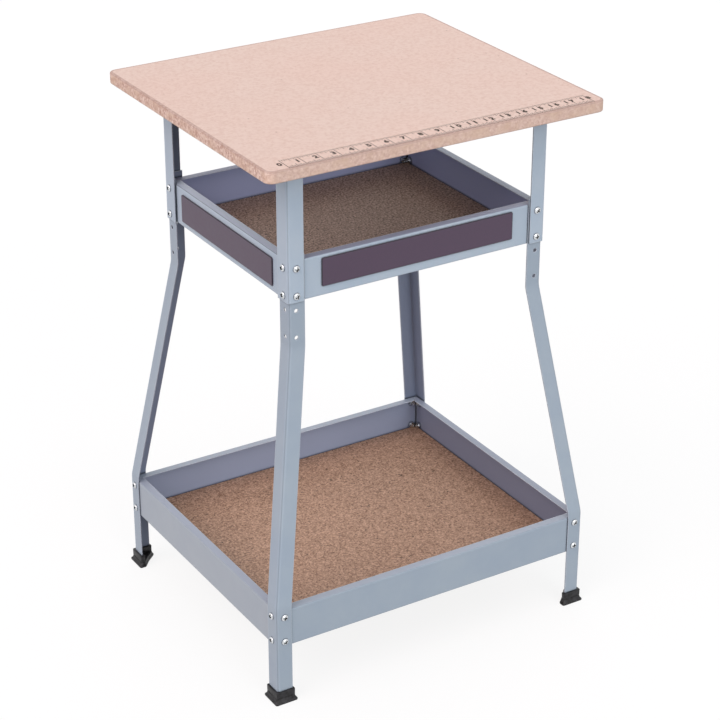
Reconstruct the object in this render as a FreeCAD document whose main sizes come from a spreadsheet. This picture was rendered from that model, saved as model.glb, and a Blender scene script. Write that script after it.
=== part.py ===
"""Height-adjustable workbench: a fibreboard top on four folded steel legs, with two trays.

Each leg is two steel angles. The lower angle nests inside the upper one and has two pairs of
holes, so the top and its tray bolt on at one of two heights. Millimetres, +Z up, +X along the
ruler edge of the top, -Y at the front. The origin is on the floor, under the middle of the top.
"""
import FreeCAD
import Part
import Sketcher
import math
import os

# Driving dimensions: name, millimetres, what it measures.
SIZES = (
    ("bench_height", 772, "floor to the work surface, at the high setting"),
    ("board_width", 508, "top board along the ruler edge"),
    ("board_depth", 445, "top board from front to back"),
    ("board_thick", 16, "top board"),
    ("board_corner", 12, "corner radius of the top board in plan"),
    ("board_ease", 2, "rounding of the top board's edges"),
    ("leg_spread_x", 398, "upper legs, outer face to outer face along X"),
    ("leg_spread_y", 341, "upper legs, outer face to outer face along Y"),
    ("foot_spread_x", 503, "lower legs at the floor, outer face to outer face along X"),
    ("foot_spread_y", 437, "lower legs at the floor, outer face to outer face along Y"),
    ("flange", 23.5, "width of both flanges of a lower leg and of the upper leg's front one"),
    ("upper_side", 27, "width of the upper leg's side flange"),
    ("steel", 1.5, "wall of the leg angles"),
    ("angle_fold", 4, "outer radius of the fold between the two flanges"),
    ("nest_gap", 0.3, "clearance between nested steel faces"),
    ("hole_inset", 12.5, "bolt holes, from the outer face of the other flange"),
    ("bolt_hole", 5.5, "bolt hole diameter in legs and tray panels"),
    ("bolt_pitch", 38, "between the two bolts of one flange"),
    ("height_step", 59, "drop from the high setting to the low one"),
    ("leg_end", 9, "upper leg, below its lower bolt"),
    ("leg_head", 18, "lower leg, above its upper hole"),
    ("knee_drop", 15, "lower leg's upper knee, below the lowest hole"),
    ("knee_low", 149, "height of the lower leg's lower knee"),
    ("knee_radius", 40, "radius of the bends at the knees"),
    ("tab_length", 30, "tab under the top board, along X"),
    ("tab_fold", 3, "outer radius of the tab's fold"),
    ("tab_start", 6, "from the leg's front face to the tab"),
    ("tab_relief", 1, "slit between the tab and the other flange"),
    ("tab_hole", 4.5, "wood screw hole in the tab"),
    ("tab_hole_near", 10, "first wood screw, from the leg's side face"),
    ("tab_hole_far", 22, "second wood screw, from the leg's side face"),
    ("upper_tray_level", 593, "mid height of the upper tray's panels"),
    ("lower_tray_level", 115.5, "mid height of the lower tray's panels"),
    ("tray_height", 57, "height of the tray panels"),
    ("sheet", 1, "wall of the tray panels"),
    ("panel_fold", 2, "outer radius of the panels' folds"),
    ("panel_lip", 12, "lip along the top of each panel"),
    ("panel_ledge", 14, "ledge along the bottom of each panel, under the hardboard"),
    ("panel_end", 2.9, "from a panel's end to the outer face of the panel it meets"),
    ("mitre_gap", 0.3, "between mitred lips at the tray corners"),
    ("hardboard", 3.2, "tray bottom"),
    ("hardboard_gap", 1.2, "between the tray bottom and the panels around it"),
    ("strip_front", 295, "magnetic strip on the front panel, length"),
    ("strip_side", 251, "magnetic strip on the left panel, length"),
    ("strip_height", 39, "magnetic strips"),
    ("strip_thick", 2, "magnetic strips"),
    ("strip_corner", 1.5, "corner radius of the magnetic strips"),
    ("strip_front_lift", 4.5, "front magnetic strip, above the mid height of its panel"),
    ("bolt_shank", 5, "bolt diameter"),
    ("bolt_head", 9.5, "bolt head diameter"),
    ("bolt_head_rim", 1.2, "straight rim of the bolt head"),
    ("bolt_head_high", 3.2, "bolt head height"),
    ("bolt_tail", 1.5, "bolt end standing out of its nut"),
    ("bolt_point", 0.5, "chamfer at the bolt's end"),
    ("thread_gap", 0.05, "between a bolt and its nut, on the radius"),
    ("nut_flats", 8, "nut, across flats"),
    ("nut_high", 4, "nut height"),
    ("screw_shank", 4, "wood screw diameter"),
    ("screw_head", 8, "wood screw head diameter"),
    ("screw_head_high", 2.6, "wood screw head height"),
    ("screw_depth", 11, "wood screw, into the top board"),
    ("pilot_spare", 1, "pilot hole, beyond the screw's end"),
    ("foot_height", 18.5, "rubber foot"),
    ("foot_floor", 3, "rubber under the end of the leg"),
    ("foot_wall", 2.4, "rubber around the leg"),
    ("foot_flare", 3, "base of the foot, beyond its sleeve"),
    ("foot_rim", 2.5, "straight rim at the foot's base"),
    ("foot_slope", 8, "height where the flared base meets the sleeve"),
    ("foot_slot", 0.1, "clearance around the leg in its foot"),
)

HEX_CORNER = 1 / math.sqrt(3)   # a hexagon's corner radius over its width across flats
SIDEWAYS = FreeCAD.Vector(1, 0, 0)
BACK = FreeCAD.Vector(0, 1, 0)
UP = FreeCAD.Vector(0, 0, 1)

doc = FreeCAD.newDocument("workbench")
sheet = doc.addObject("Spreadsheet::Sheet", "Sizes")
subparts = []


class Size:
    """A length that carries both its value and the sheet formula that gives it."""

    def __init__(self, value, text):
        self.value = value
        self.text = text

    def __add__(self, other):
        return self.joined(other, "+", lambda a, b: a + b)

    def __sub__(self, other):
        return self.joined(other, "-", lambda a, b: a - b)

    def __mul__(self, other):
        return self.joined(other, "*", lambda a, b: a * b)

    def __truediv__(self, other):
        return self.joined(other, "/", lambda a, b: a / b)

    def __neg__(self):
        return self * -1

    def joined(self, other, sign, rule):
        other = as_size(other)
        return Size(rule(self.value, other.value), f"({self.text} {sign} {other.text})")

    def root(self):
        return Size(math.sqrt(self.value), f"sqrt({self.text})")

    def bearing(self, across):
        """Angle in degrees of a line that runs `across` along X and this far along Y."""
        angle = math.degrees(math.atan2(self.value, across.value))
        return Size(angle, f"atan2({self.text}; {across.text})")


def as_size(number):
    return number if isinstance(number, Size) else Size(number, f"({number})")


def fill_sheet():
    for row, (name, value, note) in enumerate(SIZES, start=1):
        sheet.set(f"A{row}", name)
        sheet.set(f"B{row}", str(value))
        sheet.setAlias(f"B{row}", name)
        sheet.set(f"C{row}", note)
    doc.recompute()
    return {name: Size(value, f"Sizes.{name}") for name, value, _ in SIZES}


class Named(dict):
    """Sizes by name, read as attributes."""

    __getattr__ = dict.__getitem__


d = Named(fill_sheet())
ZERO = as_size(0)


def bind(item, prop, size):
    item.setExpression(prop, as_size(size).text)


def place(item, x=ZERO, y=ZERO, z=ZERO, turn=FreeCAD.Rotation()):
    item.Placement = FreeCAD.Placement(FreeCAD.Vector(x.value, y.value, z.value), turn)
    bind(item, "Placement.Base.x", x)
    bind(item, "Placement.Base.y", y)
    bind(item, "Placement.Base.z", z)
    return item


def new_body(label):
    body = doc.addObject("PartDesign::Body", label)
    body.Label = label
    return body


def new_sketch(body, plane, lift=ZERO):
    """A sketch on one of the body's own planes, moved along the plane's normal by lift."""
    sketch = body.newObject("Sketcher::SketchObject", body.Name + "_sketch")
    origin_plane = [item for item in body.Origin.OriginFeatures if item.Role == plane][0]
    sketch.AttachmentSupport = [(origin_plane, "")]
    sketch.MapMode = "FlatFace"
    sketch.AttachmentOffset = FreeCAD.Placement(FreeCAD.Vector(0, 0, lift.value), FreeCAD.Rotation())
    bind(sketch, "AttachmentOffset.Base.z", lift)
    return sketch


def pin(sketch, geometry, point, x, y=None):
    """Hold a sketch point at x, and at y where it is given, both measured from the origin."""
    index = sketch.addConstraint(Sketcher.Constraint("DistanceX", -1, 1, geometry, point, x.value))
    bind(sketch, f"Constraints[{index}]", x)
    if y is None:
        return
    index = sketch.addConstraint(Sketcher.Constraint("DistanceY", -1, 1, geometry, point, y.value))
    bind(sketch, f"Constraints[{index}]", y)


def arc_between(start, end, centre_x):
    """The short arc from start to end about a centre at centre_x, and whether it runs backwards."""
    rise = end.y - start.y
    across = end.x - start.x
    squares = end.x ** 2 - start.x ** 2 + end.y ** 2 - start.y ** 2
    centre = FreeCAD.Vector(centre_x, (squares - 2 * centre_x * across) / (2 * rise), 0)
    backwards = (start - centre).cross(end - centre).z < 0
    first, last = (end, start) if backwards else (start, end)
    circle = Part.Circle(centre, UP, (start - centre).Length)
    return Part.ArcOfCircle(circle, circle.parameter(first), circle.parameter(last)), backwards


def outline(sketch, corners, closed=True):
    """Join corners in order. A corner is (x, y), or (x, y, centre x) where an arc leads on from it."""
    points = [FreeCAD.Vector(corner[0].value, corner[1].value, 0) for corner in corners]
    count = len(corners) if closed else len(corners) - 1
    ends = []
    for i in range(count):
        start = points[i]
        end = points[(i + 1) % len(points)]
        if len(corners[i]) == 2:
            index = sketch.addGeometry(Part.LineSegment(start, end))
            ends.append((index, 1, 2))
        else:
            arc, backwards = arc_between(start, end, corners[i][2].value)
            index = sketch.addGeometry(arc)
            ends.append((index, 2, 1) if backwards else (index, 1, 2))
    for i in range(count if closed else count - 1):
        here = ends[i]
        after = ends[(i + 1) % count]
        sketch.addConstraint(Sketcher.Constraint("Coincident", here[0], here[2], after[0], after[1]))
    for corner, (index, start_point, _) in zip(corners, ends):
        pin(sketch, index, start_point, corner[0], corner[1])
        if len(corner) == 3:
            pin(sketch, index, 3, corner[2])
    if not closed:
        index, _, end_point = ends[-1]
        pin(sketch, index, end_point, corners[-1][0], corners[-1][1])


def circle(sketch, x, y, diameter):
    shape = Part.Circle(FreeCAD.Vector(x.value, y.value, 0), UP, diameter.value / 2)
    index = sketch.addGeometry(shape)
    pin(sketch, index, 3, x, y)
    size = sketch.addConstraint(Sketcher.Constraint("Diameter", index, diameter.value))
    bind(sketch, f"Constraints[{size}]", diameter)


def rounded_rectangle(sketch, half_width, half_height, radius):
    w = half_width
    h = half_height
    r = radius
    outline(sketch, [(r - w, -h), (w - r, -h, w - r), (w, r - h), (w, h - r, w - r),
                     (w - r, h), (r - w, h, r - w), (-w, h - r), (-w, r - h, r - w)])


def pad(body, sketch, length, both_ways=False, backwards=False):
    feature = body.newObject("PartDesign::Pad", body.Name + "_pad")
    feature.Profile = sketch
    feature.Length = length.value
    bind(feature, "Length", length)
    feature.SideType = "Symmetric" if both_ways else "One side"
    feature.Reversed = backwards
    return feature


def cut_through(body, sketch):
    feature = body.newObject("PartDesign::Pocket", body.Name + "_cut")
    feature.Profile = sketch
    feature.Type = "ThroughAll"
    feature.SideType = "Symmetric"
    return feature


def revolve(body, corners):
    """Turn an outline of (radius, height) corners about the body's Z axis."""
    sketch = new_sketch(body, "XZ_Plane")
    outline(sketch, corners)
    feature = body.newObject("PartDesign::Revolution", body.Name + "_turned")
    feature.Profile = sketch
    feature.ReferenceAxis = (sketch, ["V_Axis"])
    return feature


def keep(item, label):
    item.Label = label
    subparts.append(item)
    return item


def mirrored(source, label, normal):
    copy = doc.addObject("Part::Mirroring", label)
    copy.Source = source
    copy.Normal = normal
    copy.Label = label
    return copy


def keep_corners(master, name):
    """The front-left piece, and its mirror images at the other three corners."""
    keep(master, f"{name}_front_left")
    right = keep(mirrored(master, f"{name}_front_right", SIDEWAYS), f"{name}_front_right")
    keep(mirrored(master, f"{name}_rear_left", BACK), f"{name}_rear_left")
    keep(mirrored(right, f"{name}_rear_right", BACK), f"{name}_rear_right")


def compound(label, items):
    group = doc.addObject("Part::Compound", label)
    group.Links = items
    group.Label = label
    return group


def keep_group(label, items):
    """One sub-part of separate solids: the front-left fasteners and their mirror images."""
    corner = compound(f"{label}_front_left", items)
    right = mirrored(corner, f"{label}_front_right", SIDEWAYS)
    left_rear = mirrored(corner, f"{label}_rear_left", BACK)
    right_rear = mirrored(right, f"{label}_rear_right", BACK)
    return keep(compound(label, [corner, right, left_rear, right_rear]), label)


# Levels and offsets that several pieces share.
board_underside = d.bench_height - d.board_thick
nest = d.steel + d.nest_gap
upper_panel_inset = nest * 2
lower_panel_inset = nest
high_bolts = (d.upper_tray_level + d.bolt_pitch / 2, d.upper_tray_level - d.bolt_pitch / 2)
spare_holes = tuple(level - d.height_step for level in high_bolts)
low_bolts = (d.lower_tray_level + d.bolt_pitch / 2, d.lower_tray_level - d.bolt_pitch / 2)
tab_middle = (d.tab_start + d.upper_side) / 2
leg_x = -d.leg_spread_x / 2
leg_y = -d.leg_spread_y / 2
foot_x = -d.foot_spread_x / 2
foot_y = -d.foot_spread_y / 2


def angle_outline(sketch, front, side):
    """The section of a leg: two flanges of these widths, with a rounded fold at the origin."""
    outline(sketch, [(d.angle_fold, ZERO), (front, ZERO), (front, d.steel),
                     (d.angle_fold, d.steel, d.angle_fold), (d.steel, d.angle_fold),
                     (d.steel, side), (ZERO, side), (ZERO, d.angle_fold, d.angle_fold)])


def flange_holes(body, insets_and_levels):
    """The same holes in both flanges: the front one faces -Y, the side one -X."""
    for plane, shift in (("XZ_Plane", 0), ("YZ_Plane", 1)):
        sketch = new_sketch(body, plane)
        for insets, level in insets_and_levels:
            circle(sketch, insets[shift], level, d.bolt_hole)
        cut_through(body, sketch)


def make_top_board():
    body = place(new_body("top_board"), z=board_underside)
    sketch = new_sketch(body, "XY_Plane")
    rounded_rectangle(sketch, d.board_width / 2, d.board_depth / 2, d.board_corner)
    slab = pad(body, sketch, d.board_thick)
    doc.recompute()
    rim = [f"Edge{i}" for i, edge in enumerate(slab.Shape.Edges, start=1)
           if edge.BoundBox.ZLength < d.board_thick.value / 2]
    ease = body.newObject("PartDesign::Fillet", "top_board_ease")
    ease.Base = (slab, rim)
    ease.Radius = d.board_ease.value
    bind(ease, "Radius", d.board_ease)
    pilots = new_sketch(body, "XY_Plane")
    for inset in (d.tab_hole_near, d.tab_hole_far):
        for x in (leg_x + inset, -leg_x - inset):
            for y in (leg_y + tab_middle, -leg_y - tab_middle):
                circle(pilots, x, y, d.screw_shank)
    drilled = body.newObject("PartDesign::Pocket", "top_board_pilots")
    drilled.Profile = pilots
    drilled.Length = (d.screw_depth + d.pilot_spare).value
    bind(drilled, "Length", d.screw_depth + d.pilot_spare)
    drilled.Reversed = True
    keep(body, "top_board")


def make_upper_legs():
    """The outer angle, with a tab folded inwards under the top board."""
    body = place(new_body("upper_leg"), leg_x, leg_y)
    end = high_bolts[1] - d.leg_end
    fold_start = board_underside - d.tab_fold
    section = new_sketch(body, "XY_Plane", end)
    angle_outline(section, d.flange, d.upper_side)
    pad(body, section, fold_start - end)
    shoulder = new_sketch(body, "XY_Plane", fold_start)
    angle_outline(shoulder, d.flange, d.tab_start - d.tab_relief)
    pad(body, shoulder, d.tab_fold)
    tab = new_sketch(body, "XZ_Plane", -d.tab_start)
    under = board_underside - d.steel
    outline(tab, [(ZERO, fold_start, d.tab_fold), (d.tab_fold, board_underside),
                  (d.tab_length, board_underside), (d.tab_length, under),
                  (d.tab_fold, under, d.tab_fold), (d.steel, fold_start)])
    pad(body, tab, d.upper_side - d.tab_start, backwards=True)
    flange_holes(body, [((d.hole_inset, d.hole_inset), level) for level in high_bolts])
    screws = new_sketch(body, "XY_Plane")
    for inset in (d.tab_hole_near, d.tab_hole_far):
        circle(screws, inset, tab_middle, d.tab_hole)
    cut_through(body, screws)
    keep_corners(body, "upper_leg")


def make_lower_legs():
    """The inner angle: upright at the top, splayed between two knees, upright at the floor."""
    body = place(new_body("lower_leg"), foot_x, foot_y)
    section = new_sketch(body, "XY_Plane", d.foot_floor)
    angle_outline(section, d.flange, d.flange)
    shift_x = leg_x + nest - foot_x
    shift_y = leg_y + nest - foot_y
    run = (shift_x * shift_x + shift_y * shift_y).root()
    knee_high = spare_holes[1] - d.knee_drop
    rise = knee_high - d.knee_low
    slope = (run * run + rise * rise).root()
    tangent = d.knee_radius * (slope - rise) / run
    over = tangent * run / slope
    along = tangent * rise / slope
    spine = new_sketch(body, "XZ_Plane")
    heading = shift_y.bearing(shift_x)
    spine.AttachmentOffset = FreeCAD.Placement(FreeCAD.Vector(), FreeCAD.Rotation(BACK, heading.value))
    bind(spine, "AttachmentOffset.Rotation.Angle", heading)
    outline(spine, [(ZERO, d.foot_floor), (ZERO, d.knee_low - tangent, d.knee_radius),
                    (over, d.knee_low + along), (run - over, knee_high - along, run - d.knee_radius),
                    (run, knee_high + tangent), (run, high_bolts[0] + d.leg_head)], closed=False)
    sweep = body.newObject("PartDesign::AdditivePipe", "lower_leg_sweep")
    sweep.Profile = section
    sweep.Spine = spine
    sweep.Mode = "Fixed"
    nested = (shift_x + d.hole_inset - nest, shift_y + d.hole_inset - nest)
    high = [(nested, level) for level in high_bolts + spare_holes]
    low = [((d.hole_inset, d.hole_inset), level) for level in low_bolts]
    flange_holes(body, high + low)
    keep_corners(body, "lower_leg")


def make_panel(label, half_spread, level, outer, turn):
    """A folded tray panel. Its own X runs along it, Y inwards from its outer face, Z up."""
    inset = outer["inset"]
    body = new_body(label)
    place(body, outer["x"], outer["y"], level - d.tray_height / 2, turn)
    high = d.tray_height
    r = d.panel_fold
    section = new_sketch(body, "YZ_Plane")
    outline(section, [(ZERO, r), (ZERO, high - r, r), (r, high), (d.panel_lip, high),
                      (d.panel_lip, high - d.sheet), (r, high - d.sheet, r), (d.sheet, high - r),
                      (d.sheet, r, r), (r, d.sheet), (d.panel_ledge, d.sheet), (d.panel_ledge, ZERO),
                      (r, ZERO, r)])
    half = half_spread - inset - d.panel_end
    pad(body, section, half * 2, both_ways=True)
    mitres = new_sketch(body, "XY_Plane")
    start = d.panel_end - d.mitre_gap
    deep = d.panel_ledge + d.sheet
    for side in (1, -1):
        outline(mitres, [(half * side, start), (half * side, deep), ((half - deep + start) * side, deep)])
    cut_through(body, mitres)
    holes = new_sketch(body, "XZ_Plane")
    for side in (1, -1):
        for pitch in (d.bolt_pitch, -d.bolt_pitch):
            circle(holes, (half_spread - d.hole_inset) * side, (high + pitch) / 2, d.bolt_hole)
    cut_through(body, holes)
    return body


def make_tray(name, spread_x, spread_y, inset, level):
    """Four panels bolted inside the leg angles, and the hardboard that lies on their ledges."""
    front_face = {"inset": inset, "x": ZERO, "y": inset - spread_y / 2}
    front = make_panel(f"{name}_front_panel", spread_x / 2, level, front_face, FreeCAD.Rotation())
    left_face = {"inset": inset, "x": inset - spread_x / 2, "y": ZERO}
    left = make_panel(f"{name}_left_panel", spread_y / 2, level, left_face, FreeCAD.Rotation(UP, -90))
    keep(front, f"{name}_front_panel")
    keep(mirrored(front, f"{name}_rear_panel", BACK), f"{name}_rear_panel")
    keep(left, f"{name}_left_panel")
    keep(mirrored(left, f"{name}_right_panel", SIDEWAYS), f"{name}_right_panel")
    bottom = new_body(f"{name}_hardboard")
    place(bottom, z=level - d.tray_height / 2 + d.sheet)
    sketch = new_sketch(bottom, "XY_Plane")
    margin = inset + d.sheet + d.hardboard_gap
    half_x = spread_x / 2 - margin
    half_y = spread_y / 2 - margin
    outline(sketch, [(-half_x, -half_y), (half_x, -half_y), (half_x, half_y), (-half_x, half_y)])
    pad(bottom, sketch, d.hardboard)
    keep(bottom, f"{name}_hardboard")


def make_magnetic_strip(label, length, x, y, level, turn):
    """A flexible magnetic strip stuck on the outer face of a panel of the upper tray."""
    body = place(new_body(label), x, y, level, turn)
    sketch = new_sketch(body, "XZ_Plane")
    rounded_rectangle(sketch, length / 2, d.strip_height / 2, d.strip_corner)
    pad(body, sketch, d.strip_thick)
    keep(body, label)


def make_feet():
    """A rubber boot: a sleeve around the leg's end, on a flared three-cornered base."""
    body = place(new_body("foot"), foot_x, foot_y)
    wall = d.foot_wall
    arm = d.steel + wall

    def base_outline(sketch, grow):
        low = -wall - grow
        far = d.flange + wall + grow
        outline(sketch, [(low, low), (far, low), (far, arm), (arm, far), (low, far)])

    base = new_sketch(body, "XY_Plane")
    base_outline(base, d.foot_flare)
    pad(body, base, d.foot_rim)
    wide = new_sketch(body, "XY_Plane", d.foot_rim)
    base_outline(wide, d.foot_flare)
    narrow = new_sketch(body, "XY_Plane", d.foot_slope)
    base_outline(narrow, ZERO)
    flare = body.newObject("PartDesign::AdditiveLoft", "foot_flare")
    flare.Profile = wide
    flare.Sections = [narrow]
    flare.Ruled = True
    sleeve = new_sketch(body, "XY_Plane", d.foot_slope)
    end = d.flange + wall
    outline(sleeve, [(-wall, -wall), (end, -wall), (end, arm), (arm, arm), (arm, end), (-wall, end)])
    pad(body, sleeve, d.foot_height - d.foot_slope)
    slot = new_sketch(body, "XY_Plane", d.foot_floor)
    gap = d.foot_slot
    far = d.flange + gap
    thick = d.steel + gap
    fold = d.angle_fold
    outline(slot, [(fold, -gap), (far, -gap), (far, thick), (fold, thick, fold), (thick, fold),
                   (thick, far), (-gap, far), (-gap, fold, fold)])
    socket = body.newObject("PartDesign::Pocket", "foot_socket")
    socket.Profile = slot
    socket.Length = (d.foot_height - d.foot_floor).value
    bind(socket, "Length", d.foot_height - d.foot_floor)
    socket.Reversed = True
    keep_corners(body, "foot")


def bolt_profile(length):
    """A domed head on the leg's face, and a plain shank of this length behind it."""
    shank = d.bolt_shank / 2
    head = d.bolt_head / 2
    return [(ZERO, -length), (shank, -length), (shank, ZERO), (head, ZERO),
            (head, d.bolt_head_rim, ZERO), (ZERO, d.bolt_head_high)]


def pointed_profile(length, start):
    """A bolt's end from this depth on, chamfered at its tip."""
    shank = d.bolt_shank / 2
    return [(ZERO, -length), (shank - d.bolt_point, -length), (shank, d.bolt_point - length),
            (shank, -start), (ZERO, -start)]


def whole_bolt_profile(length):
    shank = d.bolt_shank / 2
    return [(ZERO, -length), (shank - d.bolt_point, -length), (shank, d.bolt_point - length)] \
        + bolt_profile(length)[2:]


def make_nut(label, seat):
    """A plain hexagon nut, its seat this deep behind the leg's outer face."""
    body = new_body(label)
    sketch = new_sketch(body, "XY_Plane", -seat)
    flat = d.nut_flats / 2
    corner = d.nut_flats * HEX_CORNER
    outline(sketch, [(ZERO, -corner), (flat, -corner / 2), (flat, corner / 2),
                     (ZERO, corner), (-flat, corner / 2), (-flat, -corner / 2)])
    circle(sketch, ZERO, ZERO, d.bolt_shank + d.thread_gap * 2)
    pad(body, sketch, d.nut_high, backwards=True)
    return body


def seats(corner_x, corner_y, levels):
    """Where the bolts of the front-left leg sit: both flanges, both levels, heads outwards."""
    facing_front = FreeCAD.Rotation(SIDEWAYS, 90)
    facing_left = FreeCAD.Rotation(UP, -90) * facing_front
    for level in levels:
        yield corner_x + d.hole_inset, corner_y, level, facing_front
        yield corner_x, corner_y + d.hole_inset, level, facing_left


def make_bolts(name, corner_x, corner_y, levels, panel_inset, crosses_slide):
    """Bolts and nuts that hold a tray's panels in the legs.

    Where they cross the sliding lower leg, each bolt is a head with its shank in the upper leg and
    a separate end in the panel and nut, so that nothing stands in the lower leg's way.
    """
    seat = panel_inset + d.sheet
    length = seat + d.nut_high + d.bolt_tail
    bolts = []
    nuts = []
    for i, (x, y, z, turn) in enumerate(seats(corner_x, corner_y, levels)):
        bolt = place(new_body(f"{name}_bolt_{i}"), x, y, z, turn)
        if crosses_slide:
            revolve(bolt, bolt_profile(d.steel))
            end = place(new_body(f"{name}_bolt_end_{i}"), x, y, z, turn)
            revolve(end, pointed_profile(length, panel_inset))
            bolts.append(end)
        else:
            revolve(bolt, whole_bolt_profile(length))
        bolts.append(bolt)
        nuts.append(place(make_nut(f"{name}_nut_{i}", seat), x, y, z, turn))
    keep_group(f"{name}_bolts", bolts)
    keep_group(f"{name}_nuts", nuts)


def make_top_screws():
    """Wood screws up through the tabs into the top board."""
    shank = d.screw_shank / 2
    head = d.screw_head / 2
    screws = []
    seat = board_underside - d.steel
    for i, inset in enumerate((d.tab_hole_near, d.tab_hole_far)):
        body = place(new_body(f"top_screw_{i}"), leg_x + inset, leg_y + tab_middle, seat)
        top = d.steel + d.screw_depth
        revolve(body, [(ZERO, top), (shank, top - shank), (shank, ZERO), (head, ZERO, ZERO),
                       (ZERO, -d.screw_head_high)])
        screws.append(body)
    keep_group("top_screws", screws)


def check_and_write():
    doc.recompute()
    for item in doc.Objects:
        if "Invalid" in item.State or "Error" in item.State:
            raise RuntimeError(f"{item.Label} failed: {item.State}")
    for item in subparts:
        if item.Shape.isNull() or not item.Shape.isValid():
            raise RuntimeError(f"{item.Label} has no valid shape")
    os.makedirs("parts", exist_ok=True)
    for item in subparts:
        item.Shape.exportStep(f"parts/{item.Label}.step")
        solids = item.Shape.Solids
        volume = sum(solid.Volume for solid in solids)
        print(f"{item.Label}: {len(solids)} solid(s), {volume:.0f} mm3")


make_top_board()
make_upper_legs()
make_lower_legs()
make_tray("upper_tray", d.leg_spread_x, d.leg_spread_y, upper_panel_inset, d.upper_tray_level)
make_tray("lower_tray", d.foot_spread_x, d.foot_spread_y, lower_panel_inset, d.lower_tray_level)
make_magnetic_strip("magnetic_strip_front", d.strip_front, ZERO, leg_y + upper_panel_inset,
                    d.upper_tray_level + d.strip_front_lift, FreeCAD.Rotation())
make_magnetic_strip("magnetic_strip_left", d.strip_side, leg_x + upper_panel_inset, ZERO,
                    d.upper_tray_level, FreeCAD.Rotation(UP, -90))
make_feet()
make_bolts("lap", leg_x, leg_y, high_bolts, upper_panel_inset, crosses_slide=True)
make_bolts("lower_tray", foot_x, foot_y, low_bolts, lower_panel_inset, crosses_slide=False)
make_top_screws()
check_and_write()
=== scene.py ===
"""Finishes, printed rule, fasteners and moulded feet of the height-adjustable workbench.

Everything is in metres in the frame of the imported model: +Z up, +X along the rule, -Y at the front.
Sizes are written in millimetres and multiplied by MM.
"""
import math

import bmesh
import bpy
from mathutils import Matrix, Vector


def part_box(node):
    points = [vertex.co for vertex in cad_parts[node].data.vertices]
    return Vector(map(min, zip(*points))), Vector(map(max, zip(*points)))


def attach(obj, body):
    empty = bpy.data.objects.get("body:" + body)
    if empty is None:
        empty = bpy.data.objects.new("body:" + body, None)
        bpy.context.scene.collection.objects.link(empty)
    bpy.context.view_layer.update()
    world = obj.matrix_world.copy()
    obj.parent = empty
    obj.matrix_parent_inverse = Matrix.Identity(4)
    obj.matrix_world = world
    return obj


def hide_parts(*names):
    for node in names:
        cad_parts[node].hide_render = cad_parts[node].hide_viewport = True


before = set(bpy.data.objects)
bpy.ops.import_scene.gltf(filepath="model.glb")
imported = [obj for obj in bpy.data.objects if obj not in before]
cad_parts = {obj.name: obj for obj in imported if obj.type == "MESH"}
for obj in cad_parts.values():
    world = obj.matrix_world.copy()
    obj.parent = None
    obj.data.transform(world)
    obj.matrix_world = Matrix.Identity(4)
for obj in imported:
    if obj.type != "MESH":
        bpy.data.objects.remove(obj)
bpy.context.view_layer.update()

MM = 0.001
INCH = 25.4 * MM
UPPER = "upper_frame"
LOWER = "lower_frame"
CORNERS = (("front_left", -1, -1), ("front_right", 1, -1), ("rear_left", -1, 1), ("rear_right", 1, 1))

# Levels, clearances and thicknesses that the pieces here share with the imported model.
HOLE_INSET = 12.5 * MM
LAP_LEVELS = (612 * MM, 574 * MM)
LOWER_LEVELS = (134.5 * MM, 96.5 * MM)
LEG_STEEL = 1.5 * MM
SHEET = 1.0 * MM
UPPER_PANEL_INSET = 3.6 * MM
LOWER_PANEL_INSET = 1.8 * MM
NUT_HIGH = 4.0 * MM
BOLT_TAIL = 1.5 * MM
TAB_UNDERSIDE = 754.5 * MM
TAB_SCREW_X = (189 * MM, 177 * MM)
TAB_SCREW_Y = 154 * MM
BOARD_CORNER = 12 * MM


def srgb(code):
    """An sRGB hex value as the linear colour that a socket takes."""
    channels = [int(code[i:i + 2], 16) / 255 for i in (1, 3, 5)]
    linear = [c / 12.92 if c <= 0.04045 else ((c + 0.055) / 1.055) ** 2.4 for c in channels]
    return (*linear, 1.0)


def per(size_mm):
    """The scale at which one cell of a pattern is this many millimetres across."""
    return 1.0 / (size_mm * MM)


def feed(tree, node, inputs):
    """Set a node's inputs, by socket name or number, from a value, a socket, a node or a list of these.

    A node stands for its first output in use.
    """
    used = [socket for socket in node.inputs if socket.enabled]
    for key, value in inputs.items():
        socket = used[key] if isinstance(key, int) else next(s for s in used if s.name == key)
        for source in value if isinstance(value, list) else [value]:
            if isinstance(source, bpy.types.Node):
                source = next(s for s in source.outputs if s.enabled)
            if isinstance(source, bpy.types.NodeSocket):
                tree.links.new(source, socket)
            else:
                socket.default_value = source


def add(tree, kind, inputs=None, **settings):
    """Add a node with its settings and links."""
    node = tree.nodes.new(kind)
    for name, value in settings.items():
        setattr(node, name, value)
    feed(tree, node, inputs or {})
    return node


def new_finish(name, constants):
    """A node material, its shader with these constant sockets, and the place on the object."""
    material = bpy.data.materials.new(name)
    material.use_nodes = True
    tree = material.node_tree
    shader = tree.nodes["Principled BSDF"]
    feed(tree, shader, constants)
    place = add(tree, "ShaderNodeTexCoord").outputs["Object"]
    return material, tree, shader, place


def near_edges(tree, radius_mm):
    """1 within this distance of a sharp edge and 0 elsewhere, and the normal that rounds those edges."""
    eased = add(tree, "ShaderNodeBevel", {"Radius": radius_mm * MM}, samples=8)
    flat = add(tree, "ShaderNodeNewGeometry").outputs["Normal"]
    # The two normals agree, with 1, away from the edges.
    agree = add(tree, "ShaderNodeVectorMath", {0: eased, 1: flat}, operation="DOT_PRODUCT")
    edge = add(tree, "ShaderNodeMapRange",
               {"Value": agree.outputs["Value"], "From Min": 0.99, "From Max": 0.9})
    return edge, eased


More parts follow.
